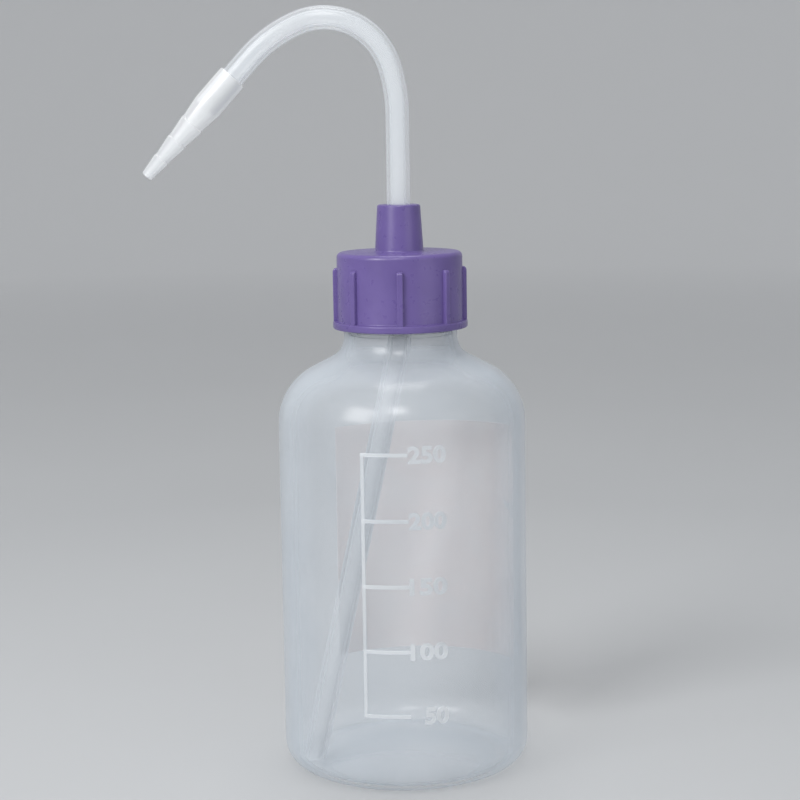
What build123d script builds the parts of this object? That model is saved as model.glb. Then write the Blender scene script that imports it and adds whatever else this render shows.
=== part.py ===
from build123d import *
import math
import os

os.makedirs("parts", exist_ok=True)

# Squeeze wash bottle for 250 ml: blown bottle, ribbed screw cap with a spout boss,
# sealing washer, one-piece bent delivery tube, stepped nozzle tip and a paper label.
# Lengths are in millimetres and angles in degrees. The origin is the centre of the
# standing plane and +Z is up. The moulded scale faces -Y, the label is on the back
# at +Y, and the spout hooks over towards -X.

# Bottle body
body_radius = 32.15
wall = 1.1
base_corner = 6.2
foot_width = 2.1
heel_spread = 1.5
push_up = 4.0
panel_radius = 16.0
shoulder_start = 90.5
shoulder_radius = 15.8
shoulder_turn = 62.5

# Bottle neck
neck_radius = 14.65
neck_fillet = 6.0
neck_bead = 1.6
neck_bore = 12.0
neck_root_radius = 13.6
neck_rise = 41.0
mouth_chamfer = 0.4

# Screw thread, right-handed
thread_pitch = 3.2
thread_turns = 1.5
thread_depth = 0.9
thread_root_width = 1.7
thread_crest_width = 0.9
thread_drop = 13.1
thread_embed = 0.25
thread_clearance = 0.3

# Moulded scale on the front of the bottle
scale_first_height = 20.9
scale_pitch = 16.5
scale_marks = 5
scale_line_angle = -108.9
scale_line_width = 0.9
scale_tick_angle = 21.1
scale_relief = 0.25
scale_embed = 0.3

# Screw cap
cap_wall_radius = 16.15
cap_wall = 1.25
cap_inner_height = 17.6
cap_top_thickness = 1.9
cap_top_chamfer = 1.0
flange_radius = 17.35
flange_height = 1.9
rib_count = 8
rib_width = 1.65
rib_radius = 17.2
rib_length = 13.6
rib_head_round = 0.9
boss_height = 12.0
boss_base_radius = 6.25
boss_tip_radius = 5.5
boss_tip_chamfer = 0.4

# Sealing washer
washer_thickness = 1.0
washer_clearance = 0.25

# Delivery tube
tube_radius = 3.0
tube_bore = 2.0
tube_fit = 0.05
dip_azimuth = 196.1
dip_reach = 25.2
dip_end_height = 2.4
dip_bend_drop = 19.5
dip_bend_radius = 40.0
stem_rise = 22.8
rise_radius = 41.9
rise_turn = 16.9
crown_radius = 17.3
crown_turn = 95.4
fall_radius = 34.3
fall_turn = 25.1
lead_run = 6.3

# Stepped nozzle tip
socket_depth = 10.5
socket_fit = 0.02
collar_radius = 3.77
collar_length = 10.1
nozzle_length = 33.6
nozzle_steps = 3
nozzle_step_start = 15.6
nozzle_step_pitch = 5.95
nozzle_step_radius = 3.25
nozzle_step_drop = 0.56
nozzle_step_ledge = 0.22
nozzle_step_rise = 0.3
nozzle_tip_radius = 1.45
outlet_radius = 0.75
outlet_length = 4.0

# Paper label on the back
label_thickness = 0.15
label_gap = 0.1
label_start_angle = 24.0
label_arc = 100.5
label_height = 64.3
label_middle_height = 53.3
label_tilt = 2.2
tear_height = 63.4
tear_depth = 5.4
tear_width = 6.2

# Sizes that follow from the ones above
foot_radius = body_radius - base_corner
throat_radius = neck_radius + neck_fillet * (1 - math.cos(math.radians(shoulder_turn)))
mouth_height = shoulder_start + neck_rise
thread_start = mouth_height - thread_drop
cap_bottom = mouth_height + washer_thickness - cap_inner_height
cap_ceiling = mouth_height + washer_thickness
cap_top = cap_ceiling + cap_top_thickness
cap_bore = cap_wall_radius - cap_wall
boss_top = cap_top + boss_height
dip_bend_height = mouth_height - dip_bend_drop
hook_start = boss_top + stem_rise
thread_travel = thread_pitch * thread_turns


def facing(angle):
    """Horizontal direction that points outwards at an angle about the axis."""
    return Vector(math.cos(math.radians(angle)), math.sin(math.radians(angle)), 0)


def across(angle):
    """Horizontal direction that runs round the axis at an angle."""
    return facing(angle + 90)


def cone_line(start, end_radius):
    """Draw the cone above the shoulder, from a start up to the radius where it ends."""
    run = start.X - end_radius
    return PolarLine(start, run / math.sin(math.radians(shoulder_turn)), 90 + shoulder_turn)


def wall_band(bottom, top, inner, outer, angle=0):
    """Sketch a thin band along the body wall, between two distances from its outside."""
    with BuildSketch(Plane.XZ.rotated((0, 0, angle))) as band:
        with Locations((body_radius + (inner + outer) / 2, (bottom + top) / 2)):
            Rectangle(outer - inner, top - bottom)
    return band.sketch


def thread_ridge(root_radius, depth, start_height):
    """Sweep one helical ridge; a negative depth points it towards the axis."""
    inner = root_radius - math.copysign(thread_embed, depth)
    with BuildLine() as helix:
        Helix(thread_pitch, thread_travel, root_radius, center=(0, 0, start_height))
    section = Plane(helix.line @ 0, x_dir=(1, 0, 0), z_dir=helix.line % 0)
    with BuildSketch(section) as profile:
        with BuildLine():
            Polyline(
                (inner - root_radius, -thread_root_width / 2),
                (depth, -thread_crest_width / 2),
                (depth, thread_crest_width / 2),
                (inner - root_radius, thread_root_width / 2),
                close=True,
            )
        make_face()
    sweep(sections=profile.sketch, path=helix.line, is_frenet=True)


# Bottle; its hollow has a straight heel and a shoulder in two flats, which stay out of sight
with BuildPart() as bottle:
    with BuildSketch(Plane.XZ):
        ring_inside = foot_radius - foot_width
        with BuildLine():
            foot = Polyline((0, push_up), (panel_radius, push_up), (ring_inside, 0), (foot_radius, 0))
            corner = JernArc(foot @ 1, (1, 0), base_corner, 90)
            side = Line(corner @ 1, (body_radius, shoulder_start))
            shoulder = JernArc(side @ 1, (0, 1), shoulder_radius, shoulder_turn)
            cone = cone_line(shoulder @ 1, throat_radius)
            throat = JernArc(cone @ 1, cone % 1, neck_fillet, -shoulder_turn)
            bead_top = (throat @ 1).Y + neck_bead
            Polyline(
                throat @ 1,
                (neck_radius, bead_top),
                (neck_root_radius, bead_top),
                (neck_root_radius, mouth_height),
                (0, mouth_height),
                (0, push_up),
            )
        make_face()
        with BuildLine():
            bend = JernArc(
                (body_radius - wall, shoulder_start),
                (0, 1),
                shoulder_radius - wall,
                shoulder_turn,
                mode=Mode.PRIVATE,
            )
            Polyline(
                (0, push_up + wall),
                (panel_radius, push_up + wall),
                (ring_inside, wall),
                (foot_radius + heel_spread, wall),
                (body_radius - wall, base_corner),
                bend @ 0,
                bend @ 0.5,
                bend @ 1,
            )
            cone = cone_line(bend @ 1, neck_bore)
            Polyline(cone @ 1, (neck_bore, mouth_height), (0, mouth_height), (0, push_up + wall))
        make_face(mode=Mode.SUBTRACT)
    revolve(axis=Axis.Z)
    mouth_edges = bottle.edges().filter_by(GeomType.CIRCLE).group_by(Axis.Z)[-1]
    chamfer(mouth_edges, mouth_chamfer)
    thread_ridge(neck_root_radius, thread_depth, thread_start)
    half_line = scale_line_width / 2
    scale_last_height = scale_first_height + (scale_marks - 1) * scale_pitch
    for mark in range(scale_marks):
        height = scale_first_height + mark * scale_pitch
        tick = wall_band(
            height - half_line, height + half_line, -scale_embed, scale_relief, scale_line_angle
        )
        revolve(tick, axis=Axis.Z, revolution_arc=scale_tick_angle)
    upright = wall_band(
        scale_first_height, scale_last_height, -scale_embed, scale_relief, scale_line_angle
    )
    revolve(upright, axis=Axis.Z, revolution_arc=math.degrees(scale_line_width / body_radius))

# One grip rib, standing against the cap wall at +X
with BuildPart() as grip_rib:
    with BuildSketch(Plane.XZ):
        rib_foot = cap_bottom + flange_height / 2
        rib_head = cap_bottom + flange_height + rib_length
        with BuildLine():
            Polyline(
                (cap_wall_radius - cap_wall / 2, rib_foot),
                (rib_radius, rib_foot),
                (rib_radius, rib_head - rib_head_round),
                (cap_wall_radius, rib_head),
                (cap_wall_radius - cap_wall / 2, rib_head),
                close=True,
            )
        make_face()
    extrude(amount=rib_width / 2, both=True)

# Screw cap with its spout boss
with BuildPart() as screw_cap:
    with BuildSketch(Plane.XZ):
        with BuildLine():
            Polyline(
                (cap_bore, cap_bottom),
                (flange_radius, cap_bottom),
                (flange_radius, cap_bottom + flange_height),
                (cap_wall_radius, cap_bottom + flange_height),
                (cap_wall_radius, cap_top),
                (boss_base_radius, cap_top),
                (boss_tip_radius, boss_top),
                (tube_radius + tube_fit, boss_top),
                (tube_radius + tube_fit, cap_ceiling),
                (cap_bore, cap_ceiling),
                close=True,
            )
        make_face()
    revolve(axis=Axis.Z)
    rings = screw_cap.edges().filter_by(GeomType.CIRCLE)
    top_rim = rings.group_by(Axis.Z)[-2].sort_by(SortBy.RADIUS)[-1]
    chamfer(top_rim, cap_top_chamfer)
    rings = screw_cap.edges().filter_by(GeomType.CIRCLE)
    boss_rim = rings.group_by(Axis.Z)[-1].sort_by(SortBy.RADIUS)[-1]
    chamfer(boss_rim, boss_tip_chamfer)
    with PolarLocations(0, rib_count):
        add(grip_rib.part)
    cap_thread_depth = cap_bore - neck_root_radius - thread_clearance
    thread_ridge(cap_bore, -cap_thread_depth, thread_start + thread_pitch / 2)

# Sealing washer, held between the mouth and the cap
with BuildPart() as sealing_washer:
    with BuildSketch(Plane.XY.offset(mouth_height)):
        Circle(cap_bore - washer_clearance)
        Circle(tube_radius + washer_clearance, mode=Mode.SUBTRACT)
    extrude(amount=washer_thickness)

# Route of the delivery tube: down to the bottom corner, then up through the cap and over the hook
dip_plane = Plane((0, 0, 0), x_dir=facing(dip_azimuth), z_dir=-across(dip_azimuth))
dip_lean = math.degrees(math.atan2(dip_reach, dip_bend_height - dip_end_height))
dip_tangent = dip_bend_radius * math.tan(math.radians(dip_lean / 2))
with BuildLine(dip_plane) as dip_route:
    bend = JernArc((0, dip_bend_height + dip_tangent), (0, -1), dip_bend_radius, dip_lean)
    overrun = tube_radius * math.tan(math.radians(dip_lean)) + wall
    slope = Line(bend @ 1, dip_plane.from_local_coords(Vector(dip_reach, dip_end_height, 0)))
    PolarLine(slope @ 1, overrun, direction=slope % 1)
with BuildLine(Plane.XZ) as hook_route:
    stem = Line((0, dip_bend_height + dip_tangent), (0, hook_start))
    rise = JernArc(stem @ 1, (0, 1), rise_radius, rise_turn)
    crown = JernArc(rise @ 1, rise % 1, crown_radius, crown_turn)
    fall = JernArc(crown @ 1, crown % 1, fall_radius, fall_turn)
    lead = PolarLine(fall @ 1, lead_run, direction=fall % 1)
    seat = PolarLine(lead @ 1, socket_depth, direction=lead % 1)
nozzle_mouth = lead @ 1
nozzle_axis = lead % 1

# Delivery tube, its lower end cut level
with BuildPart() as delivery_tube:
    for route in (dip_route.line, hook_route.line):
        with BuildSketch(Plane(route @ 0, z_dir=route % 0)) as ring:
            Circle(tube_radius)
            Circle(tube_bore, mode=Mode.SUBTRACT)
        sweep(sections=ring.sketch, path=route)
    split(bisect_by=Plane.XY.offset(dip_end_height), keep=Keep.TOP)

# Stepped nozzle tip, turned about the end of the tube
nozzle_plane = Plane(nozzle_mouth, x_dir=nozzle_axis.cross(Vector(0, 1, 0)), z_dir=(0, 1, 0))
with BuildPart() as nozzle_tip:
    with BuildSketch(nozzle_plane):
        with BuildLine():
            points = [(tube_radius + socket_fit, 0), (collar_radius, 0)]
            points.append((collar_radius, collar_length))
            for step in range(nozzle_steps):
                place = nozzle_step_start + step * nozzle_step_pitch
                radius = nozzle_step_radius - step * nozzle_step_drop
                points.append((radius - nozzle_step_ledge, place))
                points.append((radius, place + nozzle_step_rise))
            points += [(nozzle_tip_radius, nozzle_length), (outlet_radius, nozzle_length)]
            points += [(outlet_radius, nozzle_length - outlet_length), (tube_bore, socket_depth)]
            points.append((tube_radius + socket_fit, socket_depth))
            Polyline(*points, close=True)
        make_face()
    revolve(axis=Axis(nozzle_mouth, nozzle_axis))

# Paper label, bare, with a torn nick in one edge
label_angle = label_start_angle + label_arc / 2
label_plane = Plane((0, 0, label_middle_height), x_dir=across(label_angle), z_dir=facing(label_angle))
tear_plane = Plane(
    (0, 0, tear_height), x_dir=across(label_start_angle), z_dir=facing(label_start_angle)
)
with BuildPart() as back_label:
    paper = wall_band(0, shoulder_start, label_gap, label_gap + label_thickness, label_start_angle)
    revolve(paper, axis=Axis.Z, revolution_arc=label_arc)
    with BuildSketch(label_plane):
        Rectangle(4 * body_radius, label_height, rotation=-label_tilt)
    extrude(amount=2 * body_radius, mode=Mode.INTERSECT)
    with BuildSketch(tear_plane):
        with BuildLine():
            Polyline(
                (-wall, tear_width / 2),
                (tear_depth * 0.45, tear_width * 0.3),
                (tear_depth, tear_width * 0.36),
                (tear_depth * 0.8, tear_width * 0.05),
                (tear_depth * 0.35, -tear_width * 0.12),
                (tear_depth * 0.3, -tear_width * 0.38),
                (-wall, -tear_width / 2),
                close=True,
            )
        make_face()
    extrude(amount=2 * body_radius, mode=Mode.SUBTRACT)

bottle.part.label = "bottle"
screw_cap.part.label = "screw_cap"
sealing_washer.part.label = "sealing_washer"
delivery_tube.part.label = "delivery_tube"
nozzle_tip.part.label = "nozzle_tip"
back_label.part.label = "back_label"

export_step(bottle.part, "parts/bottle.step")
export_step(screw_cap.part, "parts/screw_cap.step")
export_step(sealing_washer.part, "parts/sealing_washer.step")
export_step(delivery_tube.part, "parts/delivery_tube.step")
export_step(nozzle_tip.part, "parts/nozzle_tip.step")
export_step(back_label.part, "parts/back_label.step")
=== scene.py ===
import math

import bpy
from mathutils import Matrix, Vector


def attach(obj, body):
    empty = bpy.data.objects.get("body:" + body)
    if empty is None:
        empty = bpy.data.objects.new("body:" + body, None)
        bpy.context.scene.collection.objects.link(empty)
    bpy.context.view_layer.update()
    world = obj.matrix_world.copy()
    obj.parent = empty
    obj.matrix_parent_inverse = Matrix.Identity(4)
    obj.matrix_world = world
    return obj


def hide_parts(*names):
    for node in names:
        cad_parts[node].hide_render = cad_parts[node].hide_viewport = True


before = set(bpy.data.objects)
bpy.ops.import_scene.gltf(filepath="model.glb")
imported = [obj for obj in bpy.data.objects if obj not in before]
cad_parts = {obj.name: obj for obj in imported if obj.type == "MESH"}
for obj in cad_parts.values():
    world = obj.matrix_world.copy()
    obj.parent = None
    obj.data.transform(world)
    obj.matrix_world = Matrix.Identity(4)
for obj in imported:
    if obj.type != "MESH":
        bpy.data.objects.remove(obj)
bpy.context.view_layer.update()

MM = 0.001

# Camera, solved from the bottle's outline in the photograph
CAMERA_DISTANCE = 487.4 * MM
CAMERA_HEIGHT = 168.2 * MM
CAMERA_LENS = 85.41
CAMERA_SENSOR = 36.0
CAMERA_DOWN = 8.446
CAMERA_LEFT = 0.048
CAMERA_ROLL = -0.8825

# Soft lamps: name, place in metres, size in metres, power in watts
LAMPS = (
    ("key_lamp", (-0.55, -0.55, 0.60), 0.40, 4.7),
    ("fill_lamp", (0.60, -0.50, 0.35), 0.45, 0.6),
    ("top_lamp", (0.0, 0.15, 0.80), 0.30, 1.6),
    ("front_lamp", (-0.05, -0.60, 0.70), 0.20, 1.6),
)
WORLD_STRENGTH = 0.44

# Bottle
BODY_FOOT_RADIUS = 32.15
BODY_TOP_RADIUS = 32.0
WALL = 1.1
BASE_CORNER = 6.2
FOOT_WIDTH = 2.1
PUSH_UP = 4.0
SHOULDER_START = 90.5
SHOULDER_RADIUS = 15.8
SHOULDER_TURN = 62.5
NECK_RADIUS = 14.65
NECK_FILLET = 6.0
NECK_BEAD = 1.6
NECK_ROOT_RADIUS = 13.6
MOUTH_HEIGHT = 131.5
THREAD_PITCH = 3.2
THREAD_TURNS = 1.5
THREAD_DEPTH = 0.9
THREAD_START = 118.4

# Moulded scale
SCALE_FIRST_HEIGHT = 20.9
SCALE_PITCH = 16.5
SCALE_STEP = 50
SCALE_MARKS = 5
SCALE_LEFT = -18.9
SCALE_TICK_ANGLE = 21.1
SCALE_LINE = 0.9
SCALE_RELIEF = 0.25
SCALE_SUNK = 0.2
SCALE_EDGE_ROUND = 0.1
NUMERAL_HEIGHT = 4.4
NUMERAL_WIDTH = 2.75
NUMERAL_ADVANCE = 3.4
NUMERAL_RIGHT = 19.3

# Cap
CAP_BOTTOM = 114.9
CAP_BORE = 14.9
CAP_WALL_RADIUS = 16.15
CAP_CEILING = 132.5
CAP_TOP = 134.4
CAP_TOP_ROUND = 1.3
FLANGE_RADIUS = 17.35
FLANGE_HEIGHT = 1.9
RIB_COUNT = 8
RIB_WIDTH = 1.65
RIB_RADIUS = 17.2
RIB_TOP = 130.4
RIB_HEAD_ROUND = 0.95
RIB_EDGE_ROUND = 0.35
RIB_SUNK = 0.5
BOSS_BASE_RADIUS = 6.25
BOSS_TIP_RADIUS = 5.5
BOSS_TOP = 146.4

# Delivery tube
TUBE_RADIUS = 3.0
TUBE_WALL = 1.0
TUBE_HOLE = 3.05
DIP_AZIMUTH = 196.1
DIP_REACH = 25.2
DIP_END = 2.4
DIP_BEND_HEIGHT = 112.0
DIP_BEND_RADIUS = 40.0
HOOK_START = 169.2
HOOK_BENDS = ((41.9, 16.9, 10), (17.3, 95.4, 36), (34.3, 25.1, 12))
LEAD_RUN = 6.3

# Stepped nozzle
SOCKET_DEPTH = 10.5
COLLAR_RADIUS = 3.77
COLLAR_LENGTH = 10.1
NOZZLE_LENGTH = 33.6
NOZZLE_STEPS = 3
STEP_START = 15.6
STEP_PITCH = 5.95
STEP_RADIUS = 3.25
STEP_DROP = 0.56
STEP_LEDGE = 0.22
NOZZLE_TIP_RADIUS = 1.45
OUTLET_RADIUS = 0.75
OUTLET_LENGTH = 4.0


def facing(angle):
    """Horizontal direction at an angle about the bottle's axis."""
    return Vector((math.cos(math.radians(angle)), math.sin(math.radians(angle)), 0))


class Pen:
    """Extrudes whatever is selected along runs and bends that lie in the XZ plane."""

    def __init__(self, place, heading):
        self.place = Vector((place[0], 0, place[1])) * MM
        self.heading = Vector((heading[0], 0, heading[1])).normalized()

    def run(self, length):
        step = self.heading * length * MM
        bpy.ops.mesh.extrude_region_move(TRANSFORM_OT_translate={"value": step})
        self.place += step

    def run_to(self, x, z):
        target = Vector((x, 0, z)) * MM
        self.heading = (target - self.place).normalized()
        self.run((target - self.place).length / MM)

    def bend(self, radius, turn, steps):
        """A positive turn goes to the left of the heading."""
        side = math.copysign(1, turn)
        left = Vector((-self.heading.z, 0, self.heading.x)) * side
        centre = self.place + left * radius * MM
        bpy.ops.mesh.spin(steps=steps, angle=math.radians(turn), center=centre, axis=(0, 1, 0))
        spun = Matrix.Rotation(-math.radians(turn), 3, "Y")
        self.place = centre + spun @ (self.place - centre)
        self.heading = spun @ self.heading


def begin_piece(name):
    """Start a piece in edit mode from one small plane."""
    bpy.ops.object.select_all(action="DESELECT")
    bpy.ops.mesh.primitive_plane_add(size=MM)
    piece = bpy.context.object
    piece.name = name
    piece.data.name = name
    bpy.ops.object.mode_set(mode="EDIT")
    bpy.ops.mesh.select_mode(type="VERT")
    return piece


def begin_outline(name, x, z):
    """Start an outline in the XZ plane from a single vertex, and return the piece and its pen."""
    piece = begin_piece(name)
    bpy.ops.mesh.merge(type="CENTER")
    bpy.ops.transform.translate(value=Vector((x, 0, z)) * MM)
    return piece, Pen((x, z), (1, 0))


def close_outline():
    """Join the first and last vertices of the outline that has just been drawn."""
    bpy.ops.mesh.select_all(action="SELECT")
    bpy.ops.mesh.remove_doubles(threshold=0.01 * MM)


def turn_about_axis(steps):
    """Spin the outline into a closed round body about the Z axis."""
    bpy.ops.mesh.select_all(action="SELECT")
    bpy.ops.mesh.spin(steps=steps, angle=2 * math.pi, center=(0, 0, 0), axis=(0, 0, 1))
    bpy.ops.mesh.select_all(action="SELECT")
    bpy.ops.mesh.remove_doubles(threshold=0.001 * MM)
    bpy.ops.mesh.normals_make_consistent(inside=False)


def finish_piece(piece, smooth_angle=35):
    """Leave edit mode and shade the piece smoothly, except across sharp edges."""
    bpy.ops.object.mode_set(mode="OBJECT")
    bpy.ops.object.select_all(action="DESELECT")
    piece.select_set(True)
    bpy.context.view_layer.objects.active = piece
    bpy.ops.object.shade_smooth_by_angle(angle=math.radians(smooth_angle))


def apply_modifier(piece, kind, **settings):
    """Add a modifier to the piece and apply it at once."""
    modifier = piece.modifiers.new(kind.lower(), kind)
    for name, value in settings.items():
        setattr(modifier, name, value)
    bpy.context.view_layer.objects.active = piece
    bpy.ops.object.modifier_apply(modifier=modifier.name)


def select_edges(piece, wanted):
    """Select the edges whose two ends both pass a test on their place in millimetres."""
    bpy.ops.object.mode_set(mode="OBJECT")
    points = [wanted(vertex.co / MM) for vertex in piece.data.vertices]
    for polygon in piece.data.polygons:
        polygon.select = False
    for edge in piece.data.edges:
        edge.select = points[edge.vertices[0]] and points[edge.vertices[1]]
    for vertex in piece.data.vertices:
        vertex.select = points[vertex.index]
    bpy.ops.object.mode_set(mode="EDIT")
    bpy.ops.mesh.select_mode(type="EDGE")


def on_ring(radius, height, slack=0.05):
    """Test for the vertices of one ring about the Z axis."""
    def test(point):
        near = abs(math.hypot(point.x, point.y) - radius) < slack
        return near and abs(point.z - height) < slack
    return test


def place_camera():
    """Put the camera where the photograph was taken from."""
    camera = bpy.data.objects.new("camera", bpy.data.cameras.new("camera"))
    bpy.context.scene.collection.objects.link(camera)
    camera.data.lens = CAMERA_LENS
    camera.data.sensor_width = CAMERA_SENSOR
    camera.data.sensor_fit = "HORIZONTAL"
    camera.data.clip_start = 0.01
    camera.matrix_world = (
        Matrix.Translation((0, -CAMERA_DISTANCE, CAMERA_HEIGHT))
        @ Matrix.Rotation(math.radians(CAMERA_LEFT), 4, "Z")
        @ Matrix.Rotation(math.radians(90 - CAMERA_DOWN), 4, "X")
        @ Matrix.Rotation(math.radians(CAMERA_ROLL), 4, "Z")
    )
    bpy.context.scene.camera = camera


def body_radius(height):
    """Outer radius of the slightly tapered body, in millimetres."""
    share = (SHOULDER_START - height) / (SHOULDER_START - BASE_CORNER)
    return BODY_TOP_RADIUS + (BODY_FOOT_RADIUS - BODY_TOP_RADIUS) * share


def make_bottle():
    """Blown shell: domed base, round heel, tapered side, shoulder, cone and plain neck with a bead.
    """
    foot_radius = BODY_FOOT_RADIUS - BASE_CORNER
    ring_inside = foot_radius - FOOT_WIDTH
    dome_radius = (ring_inside ** 2 + PUSH_UP ** 2) / (2 * PUSH_UP)
    turned = math.radians(SHOULDER_TURN)
    cone_run = BODY_TOP_RADIUS - SHOULDER_RADIUS - NECK_RADIUS - NECK_FILLET
    cone_run += (SHOULDER_RADIUS + NECK_FILLET) * math.cos(turned)
    piece, pen = begin_outline("bottle_shell", 0, PUSH_UP)
    pen.bend(dome_radius, -math.degrees(math.asin(ring_inside / dome_radius)), 12)
    pen.run_to(foot_radius, 0)
    pen.bend(BASE_CORNER, 90, 14)
    for height in (25, 45, 65, SHOULDER_START):
        pen.run_to(body_radius(height), height)
    pen.heading = Vector((0, 0, 1))
    pen.bend(SHOULDER_RADIUS, SHOULDER_TURN, 20)
    pen.run(cone_run / math.sin(turned))
    pen.bend(NECK_FILLET, -SHOULDER_TURN, 10)
    pen.run(NECK_BEAD)
    bead_top = pen.place.z / MM
    pen.run_to(NECK_ROOT_RADIUS, bead_top)
    pen.run_to(NECK_ROOT_RADIUS, MOUTH_HEIGHT)
    turn_about_axis(160)
    finish_piece(piece)
    apply_modifier(piece, "SOLIDIFY", thickness=WALL * MM, offset=-1, use_even_offset=True)
    finish_piece(piece)
    return piece


def make_neck_thread():
    """One helical ridge round the neck, by the screw modifier."""
    piece, pen = begin_outline("neck_thread", NECK_ROOT_RADIUS - 0.3, THREAD_START - 0.85)
    pen.run_to(NECK_ROOT_RADIUS + THREAD_DEPTH, THREAD_START - 0.45)
    pen.run_to(NECK_ROOT_RADIUS + THREAD_DEPTH, THREAD_START + 0.45)
    pen.run_to(NECK_ROOT_RADIUS - 0.3, THREAD_START + 0.85)
    bpy.ops.mesh.select_all(action="SELECT")
    bpy.ops.mesh.edge_face_add()
    bpy.ops.object.mode_set(mode="OBJECT")
    apply_modifier(
        piece, "SCREW", axis="Z", angle=2 * math.pi * THREAD_TURNS, steps=120, render_steps=120,
        screw_offset=THREAD_PITCH * THREAD_TURNS * MM, use_merge_vertices=False,
    )
    bpy.ops.object.mode_set(mode="EDIT")
    bpy.ops.mesh.select_all(action="SELECT")
    bpy.ops.mesh.remove_doubles(threshold=0.001 * MM)
    bpy.ops.mesh.normals_make_consistent(inside=False)
    finish_piece(piece)
    return piece


def make_scale_line(name, low, high, angle, steps):
    """One raised line, spun from its section and then turned to the scale's left end."""
    inner, outer = -SCALE_SUNK, SCALE_RELIEF
    piece, pen = begin_outline(name, body_radius(low) + inner, low)
    pen.run_to(body_radius(low) + outer, low)
    pen.run_to(body_radius(high) + outer, high)
    pen.run_to(body_radius(high) + inner, high)
    bpy.ops.mesh.select_all(action="SELECT")
    bpy.ops.mesh.edge_face_add()
    bpy.ops.mesh.spin(steps=steps, angle=-math.radians(angle), center=(0, 0, 0), axis=(0, 0, 1))
    bpy.ops.mesh.select_all(action="SELECT")
    bpy.ops.mesh.normals_make_consistent(inside=False)
    finish_piece(piece)
    piece.rotation_euler.z = math.radians(SCALE_LEFT - 90)
    bpy.ops.object.transform_apply(location=True, rotation=True, scale=True)
    width = SCALE_EDGE_ROUND * MM
    apply_modifier(piece, "BEVEL", width=width, segments=2, limit_method="ANGLE")
    finish_piece(piece)
    return piece


def make_numeral(value, height):
    """A raised number, cut to size and wrapped round the wall beside its tick."""
    bpy.ops.object.select_all(action="DESELECT")
    bpy.ops.object.text_add()
    text = bpy.context.object
    text.data.body = str(value)
    text.data.size = 1.0
    text.data.extrude = 0.06
    text.data.bevel_depth = 0.02
    text.data.bevel_resolution = 1
    text.data.offset = 0.012
    text.data.resolution_u = 4
    bpy.ops.object.convert(target="MESH")
    piece = bpy.context.object
    piece.name = f"numeral_{value}"
    low = [min(vertex.co[k] for vertex in piece.data.vertices) for k in range(3)]
    high = [max(vertex.co[k] for vertex in piece.data.vertices) for k in range(3)]
    width = NUMERAL_WIDTH + (len(str(value)) - 1) * NUMERAL_ADVANCE
    right = math.radians(NUMERAL_RIGHT) * body_radius(height)
    for vertex in piece.data.vertices:
        share = [(vertex.co[k] - low[k]) / (high[k] - low[k]) for k in range(3)]
        z = height + (share[1] - 0.5) * NUMERAL_HEIGHT
        angle = (right - (1 - share[0]) * width) / body_radius(height)
        reach = body_radius(z) - SCALE_SUNK + share[2] * (SCALE_RELIEF + SCALE_SUNK)
        vertex.co = Vector((reach * math.sin(angle), -reach * math.cos(angle), z)) * MM
    bpy.ops.object.mode_set(mode="EDIT")
    bpy.ops.mesh.select_all(action="SELECT")
    bpy.ops.mesh.remove_doubles(threshold=0.005 * MM)
    bpy.ops.mesh.normals_make_consistent(inside=False)
    finish_piece(piece)
    return piece


def make_scale():
    """The five ticks, the upright that joins them and their numbers."""
    pieces = []
    half = SCALE_LINE / 2
    last = SCALE_FIRST_HEIGHT + (SCALE_MARKS - 1) * SCALE_PITCH
    line_angle = math.degrees(SCALE_LINE / BODY_TOP_RADIUS)
    pieces.append(
        make_scale_line("scale_upright", SCALE_FIRST_HEIGHT - half, last + half, line_angle, 2)
    )
    for mark in range(SCALE_MARKS):
        height = SCALE_FIRST_HEIGHT + mark * SCALE_PITCH
        name = f"scale_tick_{mark + 1}"
        pieces.append(make_scale_line(name, height - half, height + half, SCALE_TICK_ANGLE, 16))
        pieces.append(make_numeral((mark + 1) * SCALE_STEP, height))
    return pieces


def make_cap():
    """Screw cap turned from one section, with its edges rounded."""
    piece, pen = begin_outline("cap_shell", CAP_BORE, CAP_BOTTOM)
    for x, z in (
        (FLANGE_RADIUS, CAP_BOTTOM),
        (FLANGE_RADIUS, CAP_BOTTOM + FLANGE_HEIGHT),
        (CAP_WALL_RADIUS, CAP_BOTTOM + FLANGE_HEIGHT),
        (CAP_WALL_RADIUS, CAP_TOP),
        (BOSS_BASE_RADIUS, CAP_TOP),
        (BOSS_TIP_RADIUS, BOSS_TOP),
        (TUBE_HOLE, BOSS_TOP),
        (TUBE_HOLE, CAP_CEILING),
        (CAP_BORE, CAP_CEILING),
        (CAP_BORE, CAP_BOTTOM),
    ):
        pen.run_to(x, z)
    close_outline()
    turn_about_axis(160)
    for radius, height, width, segments in (
        (CAP_WALL_RADIUS, CAP_TOP, CAP_TOP_ROUND, 6),
        (FLANGE_RADIUS, CAP_BOTTOM + FLANGE_HEIGHT, 0.45, 4),
        (FLANGE_RADIUS, CAP_BOTTOM, 0.35, 3),
        (CAP_WALL_RADIUS, CAP_BOTTOM + FLANGE_HEIGHT, 0.3, 3),
        (BOSS_BASE_RADIUS, CAP_TOP, 0.5, 4),
        (BOSS_TIP_RADIUS, BOSS_TOP, 0.5, 4),
        (TUBE_HOLE, BOSS_TOP, 0.25, 2),
    ):
        select_edges(piece, on_ring(radius, height))
        bpy.ops.mesh.bevel(offset=width * MM, segments=segments, affect="EDGES")
    finish_piece(piece)
    return piece


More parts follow.
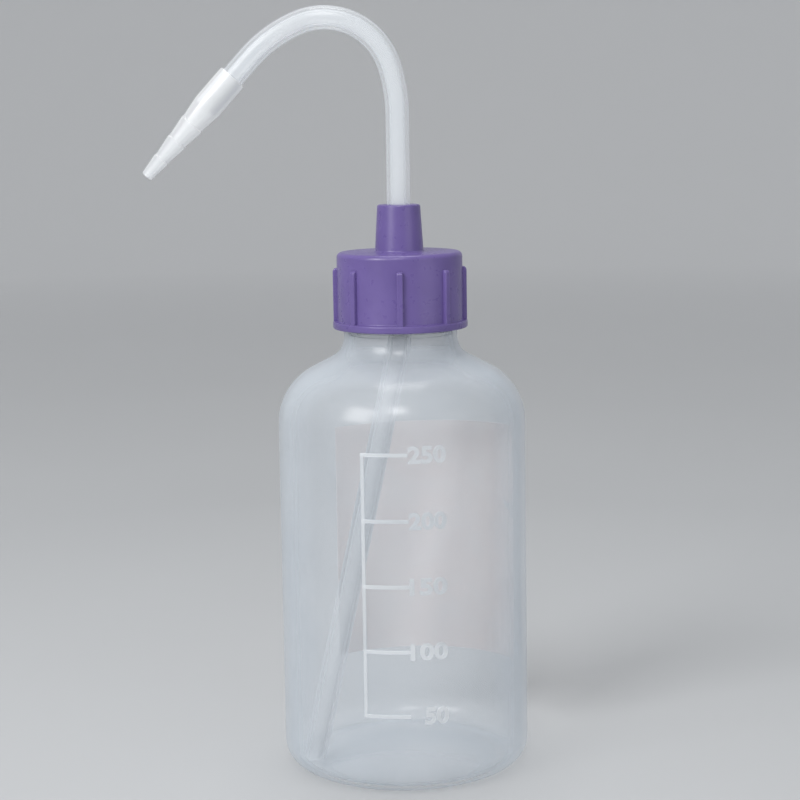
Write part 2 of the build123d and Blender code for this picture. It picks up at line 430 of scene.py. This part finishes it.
def make_cap_ribs():
    """Eight grip ribs, shaped once and copied round the cap."""
    foot = CAP_BOTTOM + FLANGE_HEIGHT * 0.4
    inner = CAP_WALL_RADIUS - RIB_SUNK
    bpy.ops.object.select_all(action="DESELECT")
    bpy.ops.mesh.primitive_cube_add(size=MM)
    rib = bpy.context.object
    rib.scale = (RIB_RADIUS - inner, RIB_WIDTH, RIB_TOP - foot)
    rib.location = Vector(((RIB_RADIUS + inner) / 2, 0, (RIB_TOP + foot) / 2)) * MM
    bpy.ops.object.transform_apply(location=True, rotation=True, scale=True)
    select_edges(rib, lambda point: point.x > RIB_RADIUS - 0.01 and point.z > RIB_TOP - 0.01)
    bpy.ops.mesh.bevel(offset=RIB_HEAD_ROUND * MM, segments=6, affect="EDGES")
    finish_piece(rib)
    apply_modifier(
        rib, "BEVEL", width=RIB_EDGE_ROUND * MM, segments=4, limit_method="ANGLE",
        angle_limit=math.radians(40),
    )
    finish_piece(rib, 50)
    pieces = []
    for index in range(RIB_COUNT):
        copy = rib.copy()
        copy.data = rib.data.copy()
        copy.name = f"cap_rib_{index + 1}"
        copy.data.transform(Matrix.Rotation(2 * math.pi * index / RIB_COUNT, 4, "Z"))
        bpy.context.scene.collection.objects.link(copy)
        pieces.append(copy)
    bpy.data.objects.remove(rib)
    return pieces


def make_delivery_tube():
    """One bent tube: slanted dip, straight stem, and the hook over to the nozzle."""
    lean = math.atan2(DIP_REACH, DIP_BEND_HEIGHT - DIP_END)
    tangent = DIP_BEND_RADIUS * math.tan(lean / 2)
    outward = facing(DIP_AZIMUTH)
    upward = Vector((0, 0, 1)) * math.cos(lean) - outward * math.sin(lean)
    vertex = Vector((0, 0, DIP_BEND_HEIGHT))
    length = (DIP_BEND_HEIGHT - DIP_END) / math.cos(lean) + 2
    start = vertex - upward * length
    bpy.ops.object.select_all(action="DESELECT")
    bpy.ops.mesh.primitive_circle_add(vertices=40, radius=TUBE_RADIUS * MM)
    piece = bpy.context.object
    piece.name = "tube_body"
    piece.rotation_euler = upward.to_track_quat("Z", "Y").to_euler()
    piece.location = start * MM
    bpy.ops.object.transform_apply(location=True, rotation=True, scale=True)
    bpy.ops.object.mode_set(mode="EDIT")
    bpy.ops.mesh.select_all(action="SELECT")
    step = upward * (length - tangent) * MM
    bpy.ops.mesh.extrude_region_move(TRANSFORM_OT_translate={"value": step})
    bend_top = Vector((0, 0, DIP_BEND_HEIGHT + tangent))
    bpy.ops.mesh.spin(
        steps=8, angle=-lean, center=(bend_top + outward * DIP_BEND_RADIUS) * MM,
        axis=facing(DIP_AZIMUTH + 90),
    )
    pen = Pen((0, DIP_BEND_HEIGHT + tangent), (0, 1))
    pen.run(HOOK_START - DIP_BEND_HEIGHT - tangent)
    for radius, turn, steps in HOOK_BENDS:
        pen.bend(radius, turn, steps)
    pen.run(LEAD_RUN)
    mouth, heading = pen.place.copy(), pen.heading.copy()
    pen.run(SOCKET_DEPTH)
    bpy.ops.mesh.select_all(action="SELECT")
    bpy.ops.mesh.bisect(
        plane_co=(0, 0, DIP_END * MM), plane_no=(0, 0, 1), clear_inner=True, use_fill=False
    )
    bpy.ops.mesh.select_all(action="SELECT")
    bpy.ops.mesh.normals_make_consistent(inside=False)
    finish_piece(piece)
    apply_modifier(piece, "SOLIDIFY", thickness=TUBE_WALL * MM, offset=-1, use_even_offset=True)
    finish_piece(piece)
    return piece, mouth, heading


def make_nozzle(mouth, heading):
    """Stepped tip, turned upright and then put onto the end of the tube."""
    piece, pen = begin_outline("nozzle_body", TUBE_RADIUS + 0.02, 0)
    pen.run_to(COLLAR_RADIUS - 0.3, 0)
    pen.run_to(COLLAR_RADIUS, 0.35)
    pen.run_to(COLLAR_RADIUS, COLLAR_LENGTH)
    for step in range(NOZZLE_STEPS):
        place = STEP_START + step * STEP_PITCH
        radius = STEP_RADIUS - step * STEP_DROP
        pen.run_to(radius - STEP_LEDGE, place)
        pen.run_to(radius, place + 0.3)
    pen.run_to(NOZZLE_TIP_RADIUS, NOZZLE_LENGTH - 0.15)
    pen.run_to(NOZZLE_TIP_RADIUS - 0.15, NOZZLE_LENGTH)
    pen.run_to(OUTLET_RADIUS, NOZZLE_LENGTH)
    pen.run_to(OUTLET_RADIUS, NOZZLE_LENGTH - OUTLET_LENGTH)
    pen.run_to(TUBE_RADIUS - TUBE_WALL, SOCKET_DEPTH)
    pen.run_to(TUBE_RADIUS + 0.02, SOCKET_DEPTH)
    pen.run_to(TUBE_RADIUS + 0.02, 0)
    close_outline()
    turn_about_axis(64)
    finish_piece(piece, 25)
    piece.rotation_euler = heading.to_track_quat("Z", "Y").to_euler()
    piece.location = mouth
    bpy.ops.object.transform_apply(location=True, rotation=True, scale=True)
    return piece


def new_material(name):
    """An empty node material with one shader, and the nodes that its finish is built on."""
    material = bpy.data.materials.new(name)
    material.use_nodes = True
    nodes = material.node_tree.nodes
    shader = nodes["Principled BSDF"]
    place = nodes.new("ShaderNodeTexCoord").outputs["Object"]
    return material, shader, place


def cloudy(material, place, scale, detail=3.0, roughness=0.5):
    """Soft noise that is fixed to the piece; scale is in spots per metre."""
    node = material.node_tree.nodes.new("ShaderNodeTexNoise")
    node.inputs["Scale"].default_value = scale
    node.inputs["Detail"].default_value = detail
    node.inputs["Roughness"].default_value = roughness
    material.node_tree.links.new(place, node.inputs["Vector"])
    return node.outputs["Fac"]


def between(material, factor, low, high, into):
    """Drive a socket with a number that moves between low and high."""
    node = material.node_tree.nodes.new("ShaderNodeMapRange")
    node.inputs["From Min"].default_value = 0.3
    node.inputs["From Max"].default_value = 0.7
    node.inputs["To Min"].default_value = low
    node.inputs["To Max"].default_value = high
    material.node_tree.links.new(factor, node.inputs["Value"])
    material.node_tree.links.new(node.outputs["Result"], into)


def tint(material, factor, low, high, into):
    """Drive a colour socket with a blend of two colours."""
    node = material.node_tree.nodes.new("ShaderNodeValToRGB")
    node.color_ramp.elements[0].position = 0.3
    node.color_ramp.elements[0].color = (*low, 1)
    node.color_ramp.elements[1].position = 0.7
    node.color_ramp.elements[1].color = (*high, 1)
    material.node_tree.links.new(factor, node.inputs["Fac"])
    material.node_tree.links.new(node.outputs["Color"], into)


def relief(material, factor, distance, shader, before=None):
    """Bump the surface by a distance in metres, and return the bump's normal."""
    node = material.node_tree.nodes.new("ShaderNodeBump")
    node.inputs["Distance"].default_value = distance
    material.node_tree.links.new(factor, node.inputs["Height"])
    if before is not None:
        material.node_tree.links.new(before, node.inputs["Normal"])
    material.node_tree.links.new(node.outputs["Normal"], shader.inputs["Normal"])
    return node.outputs["Normal"]


def milky_plastic(name, low, high, haze, rim_haze):
    """Soft hazy polyethylene: clear in part, cloudier where the wall is seen edge on, glossy."""
    material, shader, place = new_material(name)
    tint(material, cloudy(material, place, 38, 2.0), low, high, shader.inputs["Base Color"])
    between(material, cloudy(material, place, 240), 0.5, 0.65, shader.inputs["Roughness"])
    shader.inputs["IOR"].default_value = 1.5
    shader.inputs["Coat Weight"].default_value = 1.0
    shader.inputs["Coat Roughness"].default_value = 0.2
    shader.inputs["Coat IOR"].default_value = 1.7
    edge = material.node_tree.nodes.new("ShaderNodeLayerWeight")
    edge.inputs["Blend"].default_value = 0.3
    depth = material.node_tree.nodes.new("ShaderNodeMapRange")
    depth.inputs["From Min"].default_value = 0.2
    depth.inputs["To Min"].default_value = haze
    depth.inputs["To Max"].default_value = rim_haze
    material.node_tree.links.new(edge.outputs["Facing"], depth.inputs["Value"])
    # The haze throws most light forwards, so it casts only a faint shadow into the bottle
    scattered = material.node_tree.nodes.new("ShaderNodeLightPath").outputs["Is Shadow Ray"]
    passing = material.node_tree.nodes.new("ShaderNodeMapRange")
    passing.inputs["To Min"].default_value = 1.0
    passing.inputs["To Max"].default_value = 0.15
    material.node_tree.links.new(scattered, passing.inputs["Value"])
    cover = material.node_tree.nodes.new("ShaderNodeMath")
    cover.operation = "MULTIPLY"
    material.node_tree.links.new(depth.outputs["Result"], cover.inputs[0])
    material.node_tree.links.new(passing.outputs["Result"], cover.inputs[1])
    material.node_tree.links.new(cover.outputs["Value"], shader.inputs["Alpha"])
    waves = relief(material, cloudy(material, place, 60, 1.0), 0.3 * MM, shader)
    relief(material, cloudy(material, place, 900, 2.0), 0.02 * MM, shader, waves)
    return material


def cap_plastic():
    """Violet polypropylene with a satin face."""
    material, shader, place = new_material("violet_polypropylene")
    cloud = cloudy(material, place, 90, 3.0)
    tint(material, cloud, (0.130, 0.092, 0.280), (0.152, 0.108, 0.320), shader.inputs["Base Color"])
    between(material, cloudy(material, place, 500), 0.26, 0.36, shader.inputs["Roughness"])
    shader.inputs["IOR"].default_value = 1.49
    relief(material, cloudy(material, place, 1500, 2.0), 0.015 * MM, shader)
    return material


def label_paper():
    """Bare paper with a faint fibre texture."""
    material, shader, place = new_material("bare_paper")
    fibres = cloudy(material, place, 130, 5.0)
    tint(material, fibres, (0.93, 0.80, 0.76), (0.95, 0.86, 0.83), shader.inputs["Base Color"])
    shader.inputs["Roughness"].default_value = 0.9
    relief(material, cloudy(material, place, 1400, 4.0, 0.7), 0.03 * MM, shader)
    return material


def washer_foam():
    """White closed-cell foam."""
    material, shader, place = new_material("white_foam")
    cells = cloudy(material, place, 900, 4.0)
    tint(material, cells, (0.78, 0.78, 0.75), (0.88, 0.88, 0.86), shader.inputs["Base Color"])
    shader.inputs["Roughness"].default_value = 0.8
    relief(material, cloudy(material, place, 2500, 2.0), 0.05 * MM, shader)
    return material


def studio_grey():
    """Matt studio board with painted light: its colour is painted paler towards the far wall, so
    that the wall looks more brightly lit there.
    """
    material, shader, place = new_material("pale_board")
    nodes, links = material.node_tree.nodes, material.node_tree.links
    # Painted light: the colour turns from mid grey to near white with distance from the middle of
    # the cove
    reach = nodes.new("ShaderNodeVectorMath")
    reach.operation = "LENGTH"
    links.new(place, reach.inputs[0])
    painted_light_fade = nodes.new("ShaderNodeMapRange")
    painted_light_fade.inputs["From Min"].default_value = 0.35
    painted_light_fade.inputs["From Max"].default_value = 1.6
    links.new(reach.outputs["Value"], painted_light_fade.inputs["Value"])
    blend = nodes.new("ShaderNodeMix")
    blend.data_type = "RGBA"
    share, near, far = (blend.inputs[index] for index in (0, 6, 7))
    far.default_value = (0.9, 0.905, 0.91, 1)
    links.new(painted_light_fade.outputs["Result"], share)
    tint(material, cloudy(material, place, 3, 2.0), (0.50, 0.51, 0.52), (0.52, 0.53, 0.54), near)
    links.new(blend.outputs[2], shader.inputs["Base Color"])
    shader.inputs["Roughness"].default_value = 0.9
    return material


def wear(piece, material):
    """Give a piece one material."""
    piece.data.materials.clear()
    piece.data.materials.append(material)


def build_studio():
    """A round pale cove that curves up on every side, and soft lamps."""
    piece, pen = begin_outline("studio_cove", 0, 0)
    pen.run_to(1500, 0)
    pen.bend(900, 90, 16)
    pen.run(900)
    turn_about_axis(96)
    bpy.ops.mesh.normals_make_consistent(inside=True)
    finish_piece(piece, 60)
    wear(piece, studio_grey())
    target = Vector((0, 0, 0.09))
    for name, place, size, power in LAMPS:
        lamp = bpy.data.objects.new(name, bpy.data.lights.new(name, "AREA"))
        bpy.context.scene.collection.objects.link(lamp)
        lamp.data.shape = "SQUARE"
        lamp.data.size = size
        lamp.data.energy = power
        lamp.location = place
        lamp.rotation_euler = (target - Vector(place)).to_track_quat("-Z", "Y").to_euler()
    world = bpy.data.worlds.new("studio_world")
    bpy.context.scene.world = world
    world.use_nodes = True
    world.node_tree.nodes["Background"].inputs["Color"].default_value = (0.95, 0.97, 1.0, 1)
    world.node_tree.nodes["Background"].inputs["Strength"].default_value = WORLD_STRENGTH


place_camera()
build_studio()

bottle_finish = milky_plastic("milky_bottle", (0.60, 0.66, 0.72), (0.67, 0.72, 0.77), 0.19, 0.95)
scale_finish = milky_plastic("raised_scale", (0.78, 0.81, 0.84), (0.84, 0.86, 0.88), 0.42, 0.95)
tube_finish = milky_plastic("milky_tube", (0.76, 0.80, 0.84), (0.82, 0.85, 0.88), 0.26, 0.9)
nozzle_finish = milky_plastic("milky_nozzle", (0.78, 0.80, 0.82), (0.84, 0.85, 0.86), 0.5, 0.95)
violet = cap_plastic()

bottle = make_bottle()
wear(bottle, bottle_finish)
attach(bottle, "bottle")
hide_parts("bottle")

thread = make_neck_thread()
wear(thread, bottle_finish)
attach(thread, "bottle")

for mark in make_scale():
    wear(mark, scale_finish)
    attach(mark, "bottle")

cap = make_cap()
wear(cap, violet)
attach(cap, "cap")
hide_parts("screw_cap")
for rib in make_cap_ribs():
    wear(rib, violet)
    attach(rib, "cap")

tube, nozzle_mouth, nozzle_heading = make_delivery_tube()
wear(tube, tube_finish)
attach(tube, "spout")
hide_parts("delivery_tube")

nozzle = make_nozzle(nozzle_mouth, nozzle_heading)
wear(nozzle, nozzle_finish)
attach(nozzle, "spout")
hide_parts("nozzle_tip")

wear(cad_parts["back_label"], label_paper())
wear(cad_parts["sealing_washer"], washer_foam())

bpy.context.scene.view_settings.view_transform = "Standard"
